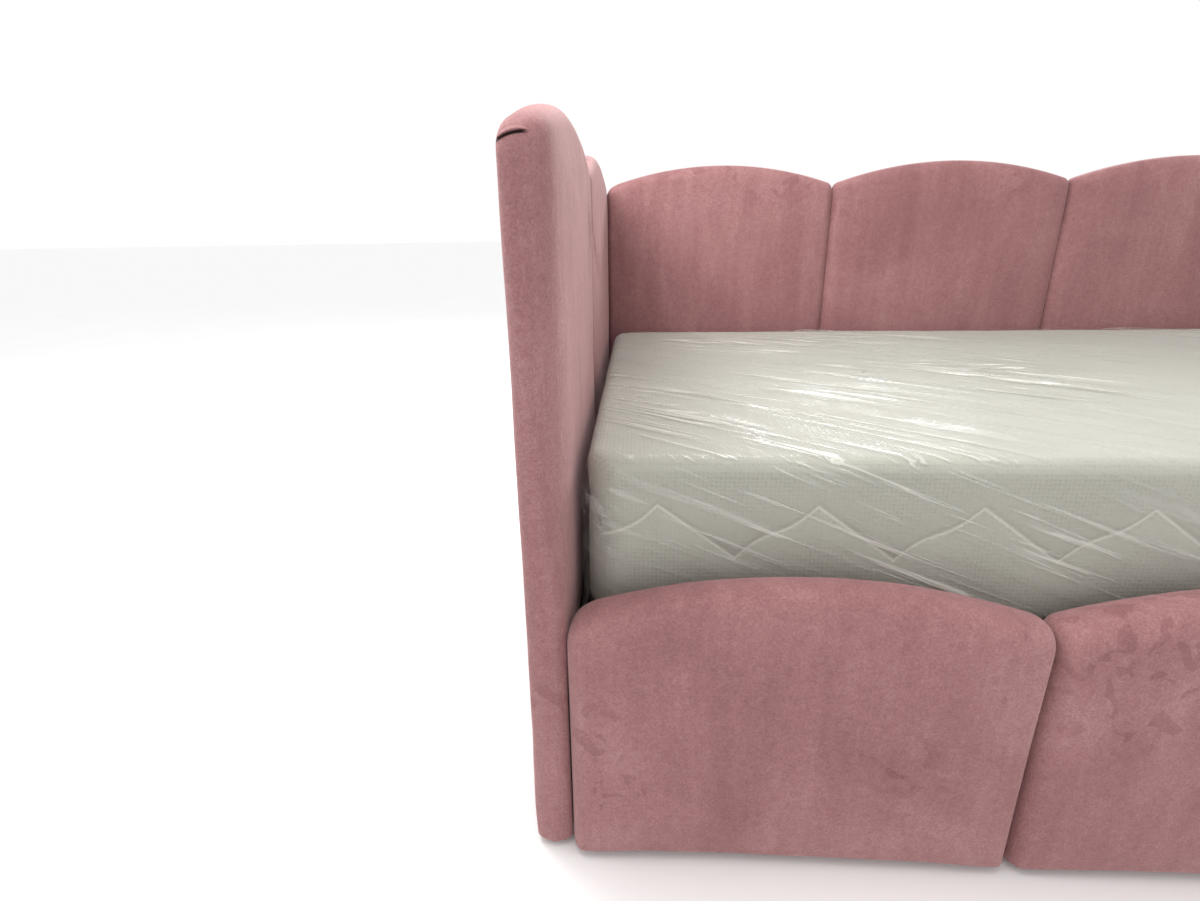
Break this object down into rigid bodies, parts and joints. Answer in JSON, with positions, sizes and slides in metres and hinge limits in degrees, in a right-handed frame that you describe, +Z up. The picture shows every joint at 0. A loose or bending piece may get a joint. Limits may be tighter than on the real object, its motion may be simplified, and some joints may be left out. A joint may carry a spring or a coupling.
{
  "type": "upholstered daybed",
  "caption": "Velvet daybed with scalloped padded back, end and front panels, a film-wrapped mattress and a slatted platform that lifts over a storage box",
  "frame": {"origin": "on the floor under the middle of the bed's overall box", "axes": "+X along the bed to the right seen from the open front, +Y from the open front to the tall back, +Z up"},
  "size_m": [2.128, 1.044, 0.8499],
  "materials": {
    "velvet": "pile velvet, dusty pink",
    "core_board": "raw particle board",
    "box_board": "laminated board",
    "sawn_wood": "planed softwood",
    "rubber": "matte",
    "glide_plastic": "matte",
    "zinc_steel": "zinc plated",
    "lift_steel": "powder coat",
    "frame_steel": "powder coat",
    "strut_black": "gloss paint",
    "strut_chrome": "polished rod",
    "holder_plastic": "moulded",
    "beech": "bent beech laminate",
    "mattress_knit": "quilted knit ticking",
    "clear_film": "clear packing film"
  },
  "bodies": {
    "root": {"back_core_board": "core_board", "back_lobe_1": "velvet", "back_lobe_2": "velvet", "back_lobe_3": "velvet", "back_lobe_4": "velvet", "left_core_board": "core_board", "left_lobe_front": "velvet", "left_lobe_rear": "velvet", "right_core_board": "core_board", "right_lobe_front": "velvet", "right_lobe_rear": "velvet", "front_core_board": "core_board", "front_lobe_1": "velvet", "front_lobe_2": "velvet", "front_lobe_3": "velvet", "front_lobe_4": "velvet", "box_front_board": "box_board", "box_rear_board": "box_board", "box_left_board": "box_board", "box_right_board": "box_board", "floor_panel_left": "box_board", "floor_panel_right": "box_board", "floor_battens": "sawn_wood", "front_ledge": "sawn_wood", "rear_ledge": "sawn_wood", "ledge_buffers": "rubber", "corner_brackets": "zinc_steel", "corner_bolts": "zinc_steel", "panel_bolts": "zinc_steel", "floor_glides": "glide_plastic", "lift_base_plate_left": "lift_steel", "lift_base_plate_right": "lift_steel", "lift_plate_bolts": "zinc_steel", "base_pivot_pins": "zinc_steel"},
    "main_arms": {"main_arm_left": "lift_steel", "main_arm_right": "lift_steel"},
    "platform": {"platform_front_tube": "frame_steel", "platform_rear_tube": "frame_steel", "platform_end_tube_left": "frame_steel", "platform_end_tube_right": "frame_steel", "platform_cross_tubes": "frame_steel", "lift_top_plate_left": "lift_steel", "lift_top_plate_right": "lift_steel", "top_pivot_pins": "zinc_steel", "slat_holders": "holder_plastic", "slats": "beech", "mattress_stops": "frame_steel", "mattress": "mattress_knit", "mattress_film": "clear_film"},
    "idler_arms": {"idler_arm_left": "lift_steel", "idler_arm_right": "lift_steel"},
    "gas_cylinders": {"gas_cylinder_left": "strut_black", "gas_cylinder_right": "strut_black"},
    "gas_rods": {"gas_rod_left": "strut_chrome", "gas_rod_right": "strut_chrome"}
  },
  "joints": [
    {"name": "platform_lift", "type": "hinge", "parent": "root", "child": "main_arms", "pos_m": [0, 0.08349, 0.122], "axis": [1, 0, 0], "range_deg": [0, 50]},
    {"name": "platform_tilt", "type": "hinge", "parent": "main_arms", "child": "platform", "pos_m": [0, 0.3, 0.247], "axis": [1, 0, 0], "range_deg": [-80, 0]},
    {"name": "idler_swing", "type": "hinge", "parent": "root", "child": "idler_arms", "pos_m": [0, -0.10562, 0.122], "axis": [1, 0, 0], "range_deg": [0, 41.53]},
    {"name": "strut_swing", "type": "hinge", "parent": "root", "child": "gas_cylinders", "pos_m": [0, 0.36349, 0.062], "axis": [1, 0, 0], "range_deg": [-0.928, 0]},
    {"name": "strut_extend", "type": "slide", "parent": "gas_cylinders", "child": "gas_rods", "axis": [0, -0.8489, 0.5285], "range_m": [0, 0.09289]}
  ],
  "couplings": [
    {"joint": "platform_tilt", "follows": "platform_lift", "ratio": -1.6},
    {"joint": "idler_swing", "follows": "platform_lift", "ratio": 0.83056},
    {"joint": "strut_swing", "follows": "platform_lift", "ratio": -0.018543},
    {"joint": "strut_extend", "follows": "platform_lift", "m_per_rad": 0.10643}
  ]
}
